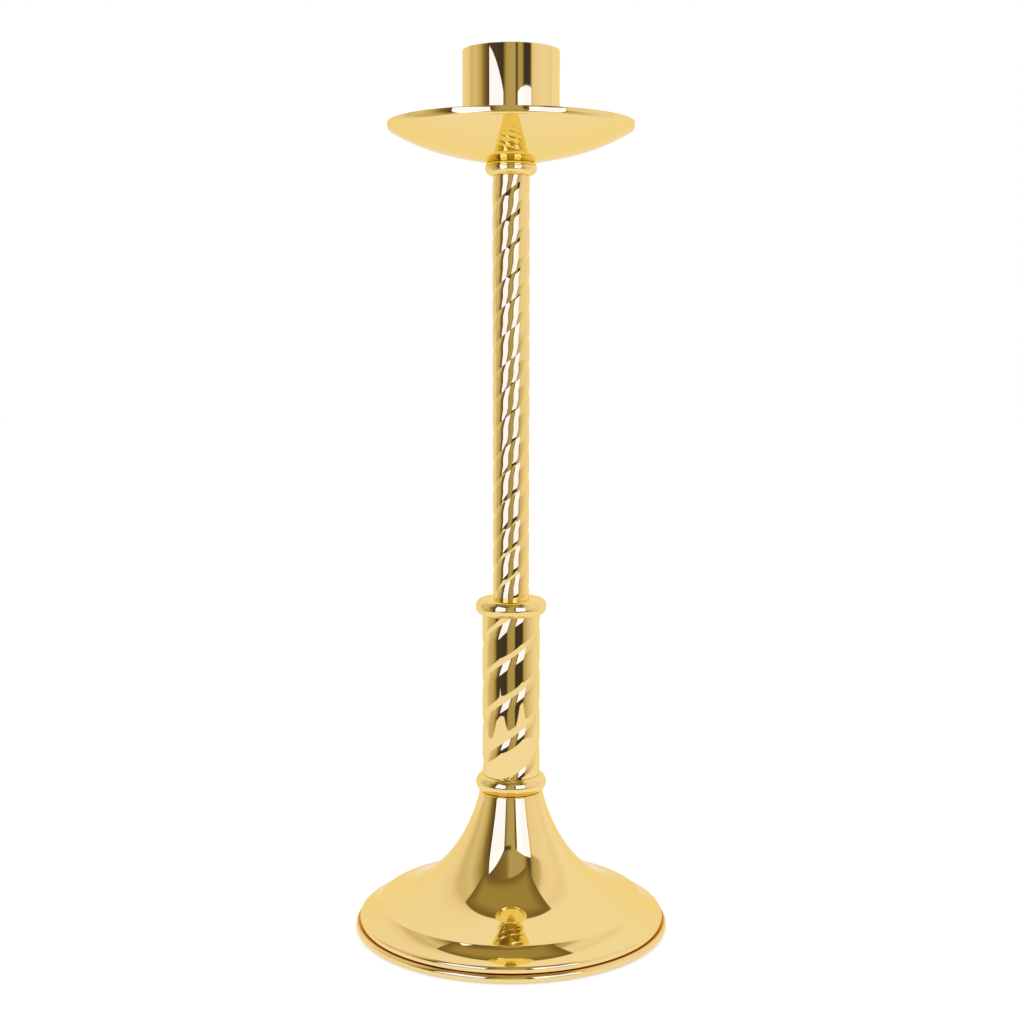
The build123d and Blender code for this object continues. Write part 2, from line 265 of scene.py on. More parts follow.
class Wire:
    """An output in a node tree. Each operator adds the node that works it out."""

    __add__, __radd__ = sums("ADD"), sums("ADD", swapped=True)
    __sub__, __rsub__ = sums("SUBTRACT"), sums("SUBTRACT", swapped=True)
    __mul__, __rmul__ = sums("MULTIPLY"), sums("MULTIPLY", swapped=True)
    __truediv__ = sums("DIVIDE")
    __lt__, __gt__ = sums("LESS_THAN"), sums("GREATER_THAN")

    def __init__(self, tree, socket=None):
        self.tree = tree
        self.socket = socket

    def node(self, kind, inputs=None, out=0, **settings):
        """Adds a node, sets it up, fills its inputs and returns one of its outputs."""
        made = self.tree.nodes.new(kind)
        for key, value in settings.items():
            setattr(made, key, value)
        fill(made, inputs or {})
        return Wire(self.tree, made.outputs[out])

    def maths(self, operation, *values):
        """A Math node on numbers or wires."""
        return self.node("ShaderNodeMath", dict(enumerate(values)), operation=operation)

    def parts(self):
        """The three parts of a vector."""
        first = self.node("ShaderNodeSeparateXYZ", {0: self})
        return [Wire(self.tree, socket) for socket in first.socket.node.outputs]

    def ease(self, low, high, to_low=0.0, to_high=1.0):
        """Runs smoothly from one value to another between two limits."""
        inputs = {"Value": self, "From Min": low, "From Max": high, "To Min": to_low, "To Max": to_high}
        return self.node("ShaderNodeMapRange", inputs, interpolation_type="SMOOTHSTEP")

    def ramp(self, stops):
        """Runs through given stops, each with a tone or a colour."""
        ramp = self.node("ShaderNodeValToRGB", {"Fac": self})
        elements = ramp.socket.node.color_ramp.elements
        while len(elements) < len(stops):
            elements.new(1)
        for element, (place, tone) in zip(elements, stops.items()):
            element.position = place
            element.color = opaque(tone if hasattr(tone, "__len__") else (tone, tone, tone))
        return ramp

    def blend(self, first, second):
        """Mixes two colours, with this wire as the factor."""
        first, second = (tone if isinstance(tone, Wire) else opaque(tone) for tone in (first, second))
        return self.node("ShaderNodeMix", {0: self, 6: first, 7: second}, out=2, data_type="RGBA")


# Finishes

def opaque(tone):
    """A colour with full alpha."""
    return (*tone, 1.0)


def shade(tone, by):
    """A colour made darker or brighter."""
    return tuple(min(1.0, by * part) for part in tone)


def surface(name):
    """A new material and its shader."""
    material = bpy.data.materials.new(name)
    material.use_nodes = True
    return material, material.node_tree.nodes["Principled BSDF"]


def place_on(material):
    """A wire that gives the place on the piece."""
    return Wire(material.node_tree).node("ShaderNodeTexCoord", out="Object")


def noise(place, scale, detail, **more):
    """A cloudy pattern."""
    return place.node("ShaderNodeTexNoise", {"Vector": place, "Scale": scale, "Detail": detail, **more})


def bump(height, strength, depth):
    """Raises and sinks a surface by a pattern."""
    return height.node("ShaderNodeBump", {"Strength": strength, "Distance": depth, "Height": height})


def mirror_brass(finish, place, satin_within=0.0):
    """Mirror-polished brass: faint buffing waves, wiping marks and a slight drift of colour.

    Within a radius of the stem it can be left satin, as spun. A painted shade darkens the crease over the
    bead to brown.
    """
    east, north, upward = place.parts()
    radius = place.maths("SQRT", east * east + north * north)
    brass = noise(place, 14.0, 3.0).ease(0.35, 0.7).blend(finish.brass, finish.brass_warm)
    stretched = place.node("ShaderNodeMapping", {"Vector": place, "Scale": (1.0, 1.0, 0.18)})
    wiping = noise(stretched, 160.0, 5.0, Roughness=0.65).ease(0.48, 0.78)
    joint = span("base_shell")[1]
    reach = bpy.context.scene.candle_holder.foot.crease
    # Painted shade: a band just over the bead's joint is coloured brown for the crease's shade
    over_bead = upward.ease(joint - reach, joint - reach / 3)
    crease = over_bead * upward.ease(joint + reach, joint + 2 * reach, 1.0, 0.0)
    return {
        "Base Color": crease.blend(brass, finish.crease_shade),
        "Roughness": finish.polish + wiping * finish.smear + (radius < satin_within) * finish.satin,
        "Normal": bump(noise(place, 90.0, 1.0), 0.12, 0.02 * MM),
        "Metallic": 1.0,
        "Specular Tint": opaque(finish.brass_edge),
    }


def socket_brass(finish, place):
    """The socket's brass: polished outside, satin inside."""
    inside = span("socket_tube")[0] - bpy.context.scene.candle_holder.socket.wall / 2
    return mirror_brass(finish, place, inside)


def zinc_plate(finish, place):
    """Bright zinc plate with a fine crystal mottle and a dull bloom."""
    crystal = place.node("ShaderNodeTexVoronoi", {"Vector": place, "Scale": 900.0})
    bloom = noise(place, 120.0, 4.0)
    return {
        "Base Color": bloom.ease(0.4, 0.75).blend(finish.zinc, shade(finish.zinc, 0.72)),
        "Roughness": 0.24 + crystal * 0.16 + bloom.ease(0.45, 0.8) * 0.15,
        "Normal": bump(crystal, 0.1, 0.05 * MM),
        "Metallic": 1.0,
    }


def cast_iron(finish, place):
    """Black sand-cast iron with a grainy skin."""
    sand = noise(place, 700.0, 6.0, Roughness=0.7)
    rusty = [more * part for more, part in zip((2.4, 1.5, 1.1), finish.iron)]
    return {
        "Base Color": noise(place, 40.0, 3.0).ease(0.5, 0.8).blend(finish.iron, rusty),
        "Roughness": 0.55 + sand * 0.3,
        "Normal": bump(sand, 0.7, 0.4 * MM),
        "Metallic": 0.6,
    }


def felt_cloth(finish, place):
    """Pressed felt: matted fibres in two tones."""
    mat = noise(place, 1400.0, 8.0, Roughness=0.8)
    tuft = noise(place, 90.0, 4.0, Distortion=1.2)
    return {
        "Base Color": (mat * 0.6 + tuft * 0.4).ease(0.35, 0.68).blend(finish.felt, shade(finish.felt, 1.7)),
        "Roughness": 0.88 + mat * 0.12,
        "Normal": bump(mat, 0.8, 0.3 * MM),
        "Sheen Weight": 0.4,
        "Sheen Roughness": 0.5,
    }


def pressed_fibre(finish, place):
    """Red vulcanised fibre with a faint paper mottle."""
    paper = noise(place, 500.0, 5.0)
    return {
        "Base Color": paper.ease(0.35, 0.7).blend(finish.fibre, shade(finish.fibre, 0.6)),
        "Roughness": 0.5 + paper * 0.25,
        "Normal": bump(paper, 0.3, 0.1 * MM),
    }


def finish_of(recipe):
    """A finish by its recipe, mixed once. A recipe gives what the shader's inputs take."""
    material = bpy.data.materials.get(recipe.__name__)
    if not material:
        material, shader = surface(recipe.__name__)
        fill(shader, recipe(bpy.context.scene.candle_holder.finish, place_on(material)))
    return material


# Outlines, as points of radius and height

def curve(pulls, steps):
    """A smooth curve from the first point to the last, drawn towards those between them."""
    points = []
    for step in range(steps + 1):
        row = [Vector(point) for point in pulls]
        while len(row) > 1:
            row = [one.lerp(other, step / steps) for one, other in zip(row, row[1:])]
        points.append(tuple(row[0]))
    return points


def falling(slope):
    """The way outwards and down at a slope."""
    return Vector((cos(slope), -sin(slope)))


def bulge(centre, across, up, first, last, steps=48):
    """Part of an ellipse, between two angles."""
    points = []
    for step in range(steps + 1):
        turn = radians(first + (last - first) * step / steps)
        points.append((centre[0] + across * cos(turn), centre[1] + up * sin(turn)))
    return points


def ease_corners(corners, radius, steps=6):
    """A closed outline with rounded corners. A corner's third value is a radius of its own."""
    points = []
    for index, corner in enumerate(corners):
        here = Vector(corner[:2])
        wanted = corner[2] if len(corner) > 2 else radius
        back = Vector(corners[index - 1][:2]) - here
        onward = Vector(corners[(index + 1) % len(corners)][:2]) - here
        if wanted <= 0:
            points.append(tuple(here))
            continue
        half = back.angle(onward) / 2
        most = 0.45 * min(back.length, onward.length)
        reach = min(wanted / tan(half), most)
        first, last = here + back.normalized() * reach, here + onward.normalized() * reach
        for step in range(steps + 1):
            t = step / steps
            points.append(tuple(first * (1 - t) ** 2 + here * 2 * t * (1 - t) + last * t * t))
    return points


def fine(points, longest):
    """The same closed outline with no run longer than a limit, so that small roundings mirror well."""
    result = []
    for index, point in enumerate(points):
        following = points[(index + 1) % len(points)]
        out, up = following[0] - point[0], following[1] - point[1]
        run = hypot(out, up)
        if run < TINY:
            continue
        pieces = max(1, round(run / longest + 0.49))
        for piece in range(pieces):
            t = piece / pieces
            result.append((point[0] + out * t, point[1] + up * t))
    return result


# Making pieces

def seat(piece, node, body="stand", slot="polished_brass"):
    """Hands a piece to the frame: ties it to the body it moves with and hides the solid it stands for. The
    slot is not used.
    """
    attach(piece, body)
    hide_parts(node)


def linked(name, data):
    """A new object in the scene for a mesh, a light or a camera."""
    made = bpy.data.objects.new(name, data)
    bpy.context.scene.collection.objects.link(made)
    return made


def outward(mesh):
    """Closes seams, turns the faces outwards and shades them smooth but for real corners."""
    work = bmesh.new()
    work.from_mesh(mesh)
    bmesh.ops.remove_doubles(work, verts=work.verts, dist=TINY)
    bmesh.ops.recalc_face_normals(work, faces=work.faces)
    work.to_mesh(mesh)
    work.free()
    mesh.shade_smooth()
    mesh.set_sharp_from_angle(angle=SHARP)
    return mesh


def turned(name, node, outline, around, longest=1.2 * MM, recipe=None, **place):
    """A turned piece in its place: a closed outline spun round the stem, of brass unless told otherwise."""
    points = fine(outline, longest)
    work = bmesh.new()
    turns = [2 * pi * step / around for step in range(around)]
    rings = []
    for radius, height in points:
        if radius < TINY:
            rings.append([work.verts.new((0, 0, height))] * around)
        else:
            rings.append([work.verts.new((radius * cos(turn), radius * sin(turn), height)) for turn in turns])
    for index, ring in enumerate(rings):
        following = rings[(index + 1) % len(rings)]
        for step in range(around):
            ahead = (step + 1) % around
            corners = [ring[step], ring[ahead], following[ahead], following[step]]
            loop = list(dict.fromkeys(corners))
            if len(loop) > 2:
                work.faces.new(loop)
    mesh = bpy.data.meshes.new(name)
    work.to_mesh(mesh)
    work.free()
    mesh.materials.append(finish_of(recipe or mirror_brass))
    piece = linked(name, outward(mesh))
    seat(piece, node, **place)
    return piece


def span(node):
    """The outer radius, the bottom and the top of a round solid."""
    low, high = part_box(node)
    return high.y, low.z, high.z


def rod_hole(settings):
    """The radius of the holes that the tie rod passes through."""
    return span("tie_rod")[0] + settings.rod.hole_gap


def crest_radius(node):
    """The radius of a twisted tube's crests."""
    low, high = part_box(node)
    return max(high.x, high.y, -low.x, -low.y)


def tube_bore(node, sizes):
    """The radius of the bore in a twisted tube."""
    return crest_radius(node) - sizes.depth - sizes.wall


def node_tree(name, floats, whole):
    """A new Geometry Nodes tree with named inputs: a wire to start from, and the inputs by name."""
    tree = bpy.data.node_groups.new(name, "GeometryNodeTree")
    kinds = {"Geometry": "Geometry", **dict.fromkeys(floats, "Float"), **dict.fromkeys(whole, "Int")}
    kinds["Material"] = "Material"
    for label, kind in kinds.items():
        tree.interface.new_socket(label, in_out="INPUT", socket_type="NodeSocket" + kind)
    tree.interface.new_socket("Geometry", in_out="OUTPUT", socket_type="NodeSocketGeometry")
    entry = tree.nodes.new("NodeGroupInput")
    return Wire(tree), {label: Wire(tree, entry.outputs[label]) for label in kinds}


def close_tree(start, across, down, place, given):
    """Lays a grid of faces out by a formula, joins its seams and gives it its finish."""
    size = {"Size X": 1.0, "Size Y": 1.0, "Vertices X": across, "Vertices Y": down}
    faces = start.node("GeometryNodeMeshGrid", size)
    for kind, inputs in (
        ("SetPosition", {"Position": place}),
        ("MergeByDistance", {"Distance": 0.002 * MM}),
        ("RealizeInstances", {}),
        ("SetMaterial", {"Material": given["Material"]}),
    ):
        faces = start.node("GeometryNode" + kind, {"Geometry": faces, **inputs})
    fill(start.tree.nodes.new("NodeGroupOutput"), {0: faces})
    return start.tree


def grid_place(start):
    """How far a grid's point lies across and down it, each from 0 to 1."""
    across, down, _ = start.node("GeometryNodeInputPosition").parts()
    return across + 0.5, down + 0.5


def round_place(start, radius, turn, height):
    """A point from its radius, its angle and its height."""
    east = radius * start.maths("COSINE", turn)
    north = radius * start.maths("SINE", turn)
    return start.node("ShaderNodeCombineXYZ", {0: east, 1: north, 2: height})


def twisted_tube_tree():
    """A tube with three lobes that wind up its outside. Its faces follow the grooves, so these stay crisp.

    Across a lobe the crest is round, and a smaller arc that leaves it smoothly rolls down into the groove.
    """
    names = (
        "Radius", "Depth", "Bore", "Bottom", "Length", "Lead", "Upper crest", "Lower crest", "First groove",
        "First lobe", "Second lobe",
    )
    start, given = node_tree("twisted_tube", names, ("Columns", "Rows"))
    across, down = grid_place(start)
    rows = given["Rows"]
    # The grid runs up the outside, over the top edge, down the bore and back to where it began.
    track = down * (2 * rows + 2)
    outside = track < rows + 0.5
    rising = track / rows
    sinking = 1 - (track - rows - 1) / rows
    climb = start.maths("MAXIMUM", 0.0, outside * rising + (1 - outside) * sinking)
    # A point's lobe, and its place in that lobe, set closer together near the grooves.
    lobe = start.maths("MINIMUM", start.maths("FLOOR", across * 3 + 0.0001), 2.0)
    even = across * 3 - lobe
    inside_lobe = 0.5 - 0.5 * start.maths("COSINE", even * pi)
    first, second = given["First lobe"], given["Second lobe"]
    third = 1 - first - second
    in_first, in_third = lobe < 0.5, lobe > 1.5
    in_second = 1 - in_first - in_third
    width = 2 * pi * (in_first * first + in_second * second + in_third * third)
    begins = 2 * pi * (in_second * first + in_third * (first + second))
    # The flank's arc: its middle lies on the line to the crest's end.
    outer = given["Radius"]
    groove = outer - given["Depth"]
    lower_half = inside_lobe > 0.5
    crest = (1 - lower_half) * given["Upper crest"] + lower_half * given["Lower crest"]
    flank = (1 - crest) * width * 0.5
    middle = (outer * outer - groove * groove) / (2 * (outer - groove * start.maths("COSINE", flank)))
    off_middle = start.maths("ABSOLUTE", inside_lobe * 2 - 1)
    from_crest = start.maths("MAXIMUM", 0.0, (off_middle - crest) * width * 0.5)
    sideways = middle * start.maths("SINE", from_crest)
    arc = outer - middle
    lobed = middle * start.maths("COSINE", from_crest) + start.maths("SQRT", arc * arc - sideways * sideways)
    radius = outside * lobed + (1 - outside) * given["Bore"]
    rise = climb * given["Length"]
    turn = given["First groove"] + begins + inside_lobe * width + 2 * pi * rise / given["Lead"]
    place = round_place(start, radius, turn, given["Bottom"] + rise)
    return close_tree(start, given["Columns"] * 3 + 1, 2 * rows + 3, place, given)


def threaded_rod_tree():
    """A rod with a helical thread from end to end that runs out at both ends, where flat faces close it."""
    names = ("Radius", "Depth", "Bottom", "Top", "Pitch")
    start, given = node_tree("threaded_rod", names, ("Columns", "Rows"))
    across, down = grid_place(start)
    rows = given["Rows"]
    row = start.maths("ROUND", down * rows)
    pitch, bottom, top = given["Pitch"], given["Bottom"], given["Top"]
    # Four rows make one turn of the thread: two on the crest and two in the root.
    free = bottom + pitch * ((row - 1) / 4 - 1 + across)
    held = start.maths("MINIMUM", top, start.maths("MAXIMUM", bottom, free))
    whole = (free > bottom) * (free < top)
    phase = start.maths("MODULO", row - 1, 4.0)
    crest = whole * (phase > 0.5) * (phase < 2.5)
    at_bottom, at_top = row < 0.5, row > rows - 0.5
    along = 1 - (at_bottom + at_top)
    radius = (given["Radius"] - given["Depth"] * (1 - crest)) * along
    height = at_bottom * bottom + at_top * top + along * held
    place = round_place(start, radius, 2 * pi * across, height)
    return close_tree(start, given["Columns"] + 1, rows + 1, place, given)


def grown(name, tree, values, material):
    """A plain mesh made by a Geometry Nodes tree with the given inputs."""
    piece = linked(name, bpy.data.meshes.new(name))
    grower = piece.modifiers.new("grow", "NODES")
    grower.node_group = tree
    sockets = {item.name: item.identifier for item in tree.interface.items_tree if item.in_out == "INPUT"}
    for label, value in {**values, "Material": material}.items():
        grower[sockets[label]] = value
    bpy.context.view_layer.update()
    ready = piece.evaluated_get(bpy.context.evaluated_depsgraph_get())
    mesh = bpy.data.meshes.new_from_object(ready)
    piece.modifiers.remove(grower)
    empty = piece.data
    piece.data = outward(mesh)
    bpy.data.meshes.remove(empty)
    piece.data.name = name
    return piece


# Operators, one for each group of pieces

class MakeFoot(Operator):
    """Spins the base shell and the beaded ring that it stands on"""

    bl_idname = "holder.make_foot"
    bl_label = "Foot"

    def execute(self, context):
        settings = context.scene.candle_holder
        sizes = settings.foot
        foot_r, foot_bottom, lip_top = span("foot_ring")
        rim_r, joint_z, neck_z = span("base_shell")
        self.shell(sizes, rim_r, joint_z, neck_z, rod_hole(settings))
        bead = sizes.bead / 2
        flange_r = span("ballast")[0] + sizes.flange_gap
        flange_z = span("felt_pad")[2] + sizes.flange
        register_r = rim_r - sizes.wall - sizes.register_gap
        lip_outer = register_r - sizes.lip_slant
        lip_inner = lip_outer - sizes.lip_width
        ring = bulge((foot_r - bead, foot_bottom + bead), bead, bead, -90, 90)
        inside = [
            (foot_r - bead, joint_z, 0), (register_r, joint_z, 0),
            (register_r, joint_z + sizes.register_height), (lip_outer, lip_top), (lip_inner, lip_top),
            (lip_inner, flange_z, 0), (flange_r, flange_z, 0), (flange_r, foot_bottom),
            (foot_r - bead, foot_bottom, 0),
        ]
        ring += ease_corners(inside, sizes.ring_edge)[1:-1]
        turned("beaded_foot_ring", "foot_ring", ring, around=360)
        return {"FINISHED"}

    def shell(self, sizes, rim_r, rim_bottom, neck_z, hole):
        """The spun shell, from its rim on the bead up to its flat top."""
        wall = sizes.wall
        neck = Vector((sizes.neck_radius, neck_z))
        ridge = Vector((rim_r - sizes.ridge_inset, sizes.ridge_height))
        rim = Vector((rim_r, rim_bottom + sizes.rim_height))
        neck_inside = neck - Vector((tan(sizes.neck_slope / 2), 1)) * wall
        lean = (sizes.ridge_slope + sizes.cove_slope) / 2
        ridge_inside = ridge - Vector((sin(lean), cos(lean))) * wall / cos(sizes.cove_slope - lean)
        rim_inside = rim - Vector((wall, 0))
        outer = self.spun(sizes, neck, ridge, rim, sizes.edge_radius, steps=120)
        inner = self.spun(sizes, neck_inside, ridge_inside, rim_inside, sizes.edge_radius - wall, steps=40)
        edge = sizes.edge
        foot = curve([(rim.x, rim_bottom + edge), (rim.x, rim_bottom), (rim.x - edge, rim_bottom)], steps=10)
        foot.append((rim_inside.x, rim_bottom))
        outer = [point for point in outer if (Vector(point) - neck).length > sizes.neck_edge]
        top = [(hole, neck_inside.y), (hole, neck.y)]
        top += curve([(neck.x - sizes.neck_edge, neck.y), neck, outer[0]], steps=10)[:-1]
        outline = outer + foot + inner[::-1] + top
        turned("spun_base_shell", "base_shell", outline, around=320, longest=3 * MM)

    def spun(self, sizes, neck, ridge, rim, edge_radius, steps):
        """One face of the shell: a trumpet, a cove under its ridge and a rounded edge."""
        flare = ridge - neck
        trumpet = curve([
            neck,
            neck - falling(sizes.neck_slope) * flare.y * sizes.neck_handle,
            neck + Vector((flare.x * sizes.waist_run, flare.y * sizes.waist_drop)),
            ridge - falling(sizes.ridge_slope) * flare.x * sizes.flare_handle,
            ridge,
        ], steps)
        middle = rim - Vector((edge_radius, 0))
        edge = bulge(middle, edge_radius, edge_radius, 90 - degrees(sizes.edge_slope), 0, steps // 8)
        cove_end = Vector(edge[0])
        pull = (cove_end - ridge).length * sizes.cove_handle
        cove = curve([
            ridge,
            ridge + falling(sizes.cove_slope) * pull,
            cove_end - falling(sizes.edge_slope) * pull,
            cove_end,
        ], steps * 3 // 8)
        trumpet = [point for point in trumpet if (Vector(point) - ridge).length > sizes.ridge_edge]
        cove = [point for point in cove if (Vector(point) - ridge).length > sizes.ridge_edge]
        return trumpet + curve([trumpet[-1], ridge, cove[0]], steps=8)[1:-1] + cove + edge[1:]


class MakeStem(Operator):
    """Winds the twisted sleeve and the twisted shaft"""

    bl_idname = "holder.make_stem"
    bl_label = "Twisted stem"

    def execute(self, context):
        settings = context.scene.candle_holder
        tree = twisted_tube_tree()
        for name, node, sizes in (
            ("twisted_sleeve", "spiral_sleeve", settings.sleeve),
            ("twisted_shaft", "spiral_shaft", settings.shaft),
        ):
            low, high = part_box(node)
            tall = high.z - low.z
            values = {
                "Radius": crest_radius(node), "Depth": sizes.depth, "Bore": tube_bore(node, sizes),
                "Bottom": low.z, "Length": tall, "Lead": sizes.lead,
                "Upper crest": sizes.upper_crest, "Lower crest": sizes.lower_crest,
                "First groove": -pi / 2 + 2 * pi * (low.z - sizes.front) / sizes.lead,
                "First lobe": sizes.lobes[0], "Second lobe": sizes.lobes[1],
                "Columns": sizes.columns, "Rows": round(tall / sizes.row),
            }
            piece = grown(name, tree, values, finish_of(mirror_brass))
            seat(piece, node)
        return {"FINISHED"}


class MakeCollars(Operator):
    """Turns the two collars and the neck ring"""

    bl_idname = "holder.make_collars"
    bl_label = "Collars"

    def execute(self, context):
        settings = context.scene.candle_holder
        sizes = settings.collars
        hole = rod_hole(settings)
        sleeve_spigot = tube_bore("spiral_sleeve", settings.sleeve) - sizes.spigot_gap
        shaft_spigot = tube_bore("spiral_shaft", settings.shaft) - sizes.spigot_gap
        sleeve_bottom, sleeve_top = span("spiral_sleeve")[1:]
        shaft_bottom, shaft_top = span("spiral_shaft")[1:]
        bottom, top = span("lower_collar")[1:]
        self.ring("lower_bead_collar", "lower_collar", sizes.lower_bead, bottom, sleeve_bottom, [
            (sleeve_spigot, sleeve_bottom), (sleeve_spigot, top), (hole, top), (hole, bottom),
        ])
        bottom, top = span("upper_collar")[1:]
        self.ring("upper_bead_collar", "upper_collar", sizes.upper_bead, sleeve_top, shaft_bottom, [
            (shaft_spigot, shaft_bottom), (shaft_spigot, top), (hole, top), (hole, bottom),
            (sleeve_spigot, bottom), (sleeve_spigot, sleeve_top),
        ])
        bottom, top = span("neck_ring")[1:]
        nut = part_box("neck_nut")
        pocket = nut[1].x + sizes.nut_gap
        bead_top = shaft_top + sizes.neck_bead_height
        self.ring("neck_bead_ring", "neck_ring", sizes.neck_bead, shaft_top, bead_top, [
            (pocket, top), (pocket, nut[0].z), (hole, nut[0].z), (hole, bottom),
            (shaft_spigot, bottom), (shaft_spigot, shaft_top),
        ], top)
        return {"FINISHED"}

    def ring(self, name, node, bead, low, high, inside, cut=None):
        """A turned ring: a bead between two heights, cut flat at a third if given, and the outline inside."""
        half = (high - low) / 2
        last = degrees(asin((cut - low - half) / half)) if cut else 90
        outline = bulge((span(node)[0] - bead, low + half), bead, half, -90, last) + inside
        turned(name, node, outline, around=256, longest=0.8 * MM)


class MakePan(Operator):
    """Spins the drip pan"""

    bl_idname = "holder.make_pan"
    bl_label = "Drip pan"

    def execute(self, context):
        settings = context.scene.candle_holder
        sizes = settings.pan
        radius, bottom, top = span("drip_pan")
        hole = rod_hole(settings)
        wall = sizes.wall
        cone_end = Vector((sizes.cone, bottom + (sizes.cone - sizes.flat) * tan(sizes.slope)))
        corner = Vector((radius, top - sizes.rim))
        # The bowl is an arc that leaves the cone smoothly and ends at the corner under the rim.
        chord = corner - cone_end
        bend = 2 * (atan2(chord.y, chord.x) - sizes.slope)
        bowl_r = chord.length / (2 * sin(bend / 2))
        middle = cone_end + Vector((-sin(sizes.slope), cos(sizes.slope))) * bowl_r
        leaves = sizes.slope + bend
        before_corner = sizes.corner * tan((pi / 2 - leaves) / 2)
        last = leaves - before_corner / bowl_r
        way = Vector((cos(leaves), sin(leaves)))
        pivot = corner - way * before_corner + Vector((-way.y, way.x)) * sizes.corner
        under = [(hole, bottom), (sizes.flat, bottom)]
        under += self.arc(middle, bowl_r, sizes.slope, last, steps=90)
        under += self.arc(pivot, sizes.corner, leaves, pi / 2, steps=14)[1:]
        flat_end = (sizes.flat - wall * tan(sizes.slope / 2), bottom + wall)
        inside = self.arc(pivot, sizes.corner - wall, pi / 2, leaves, steps=14)
        inside += self.arc(middle, bowl_r - wall, last, sizes.slope, steps=90)[1:]
        edge = sizes.edge
        rim = bulge((radius - edge, top - edge), edge, edge, 0, 90, steps=6)
        rim += bulge((radius - wall + edge, top - edge), edge, edge, 90, 180, steps=6)
        outline = under + rim + inside + [flat_end, (hole, bottom + wall)]
        turned("spun_drip_pan", "drip_pan", outline, around=320)
        return {"FINISHED"}

    def arc(self, middle, radius, first, last, steps):
        """Points on an arc by the slope of its tangent."""
        return bulge(middle, radius, radius, degrees(first) - 90, degrees(last) - 90, steps)


class MakeSocket(Operator):
    """Makes the candle socket: its tube, and the floor that screws on the rod"""

    bl_idname = "holder.make_socket"
    bl_label = "Candle socket"

    def execute(self, context):
        settings = context.scene.candle_holder
        sizes = settings.socket
        polished = {"recipe": socket_brass, "body": "socket"}
        radius, bottom, top = span("socket_tube")
        floor_r, boss_bottom, floor_top = span("socket_floor")
        rod_r, _, rod_top = span("tie_rod")
        bore = radius - sizes.wall
        seat_r = bore + sizes.step
        tube = [
            (radius, bottom, sizes.foot_edge), (radius, top), (bore, top),
            (bore, floor_top, 0), (seat_r, floor_top, 0), (seat_r, bottom, sizes.foot_edge),
        ]
        turned("candle_socket_tube", "socket_tube", ease_corners(tube, sizes.edge), around=320, **polished)
        tapped = rod_r + settings.rod.tap_gap
        tap_top = rod_top + settings.rod.tap_runout
        under = floor_top - sizes.floor
        floor = [
            (0, floor_top, 0), (floor_r, floor_top), (floor_r, under),
            (sizes.boss, under, sizes.boss_root), (sizes.boss, boss_bottom, sizes.boss_edge),
            (tapped, boss_bottom, sizes.boss_edge), (tapped, tap_top, 0), (0, tap_top, 0),
        ]
        floor = ease_corners(floor, sizes.floor_edge)
        turned("candle_socket_floor", "socket_floor", floor, around=192, **polished)
        return {"FINISHED"}


class MakeFelt(Operator):
    """Cuts the felt pad under the foot"""

    bl_idname = "holder.make_felt"
    bl_label = "Felt"

    def execute(self, context):
        sizes = context.scene.candle_holder.foot
        radius, bottom, top = span("felt_pad")
        disc = ease_corners([
            (0, bottom), (radius, bottom, sizes.felt_edge), (radius, top, sizes.felt_top_edge), (0, top),
        ], 0)
        piece = turned("felt_disc", "felt_pad", disc, 256, 2.5 * MM, felt_cloth, slot="felt")
        return {"FINISHED"}


class MakeHardware(Operator):
    """Rolls the rod's thread and finishes the nuts, washers and cast weight"""

    bl_idname = "holder.make_hardware"
    bl_label = "Rod and fastenings"

    def execute(self, context):
        sizes = context.scene.candle_holder.rod
        radius, bottom, top = span("tie_rod")
        turns = (top - bottom) / sizes.pitch + 2
        values = {
            "Radius": radius, "Depth": sizes.thread, "Bottom": bottom, "Top": top, "Pitch": sizes.pitch,
            "Columns": sizes.columns, "Rows": 4 * round(turns) + 2,
        }
        piece = grown("threaded_tie_rod", threaded_rod_tree(), values, finish_of(zinc_plate))
        seat(piece, "tie_rod", slot="zinc_steel")
        finishes = dict.fromkeys(("flat_washer", "lock_washer", "bottom_nut", "neck_nut"), zinc_plate)
        finishes.update(ballast=cast_iron, socket_washer=pressed_fibre)
        for node, recipe in finishes.items():
            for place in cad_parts[node].material_slots:
                place.material = finish_of(recipe)
        return {"FINISHED"}


# The studio: azimuths in degrees from the front, distances and heights in metres

# A light panel's two ends, each an azimuth and a distance, then its bottom and its top
PANELS = {
    "left_panel": ((-50.5, 0.495), (-17.5, 0.757), 0.10, 0.643),
    "right_panel": ((15.5, 0.730), (47.5, 0.700), 0.10, 0.638),
}
# Brightness of the mirrored room by azimuth: under the horizon, on the walls and over them
BELOW_TONES = {
    -180: 1.0, -120: 0.97, -106: 0.8, -95: 0.6, -79: 0.56, -66: 0.32, -58: 0.06, -18: 0.05, -15: 0.2,
    -12: 0.38, -4: 0.42, 10: 0.42, 14: 0.35, 16.5: 0.05, 46: 0.05, 50: 0.34, 56: 0.52, 69: 0.68, 84: 0.8,
    120: 1.0, 180: 1.0,
}
WALL_TONES = {
    -180: 1.0, -135: 0.95, -120: 0.87, -108: 0.66, -90: 0.72, -76: 0.5, -66: 0.2, -54: 0.07, -18.5: 0.05,
    -16: 0.16, -13: 0.33, -8: 0.45, 8: 0.47, 10: 0.4, 12: 0.06, 14: 0.08, 17: 0.33, 19: 0.43, 25: 0.43,
    28: 0.25, 31: 0.05, 46: 0.05, 48: 0.35, 50.5: 0.72, 54: 0.85, 75: 0.9, 90: 0.93, 105: 0.88, 120: 1.0,
    180: 1.0,
}
ABOVE_TONES = {
    -180: 1.0, -135: 0.95, -120: 0.87, -108: 0.66, -90: 0.72, -76: 0.45, -62: 0.15, -50: 0.12, -30: 0.16,
    -14: 0.2, -8: 0.3, -3: 0.44, 28: 0.44, 36: 0.32, 40: 0.1, 46: 0.08, 50: 0.3, 54: 0.45, 66: 0.56,
    71: 0.78, 78: 0.9, 90: 0.93, 105: 0.88, 120: 1.0, 180: 1.0,
}
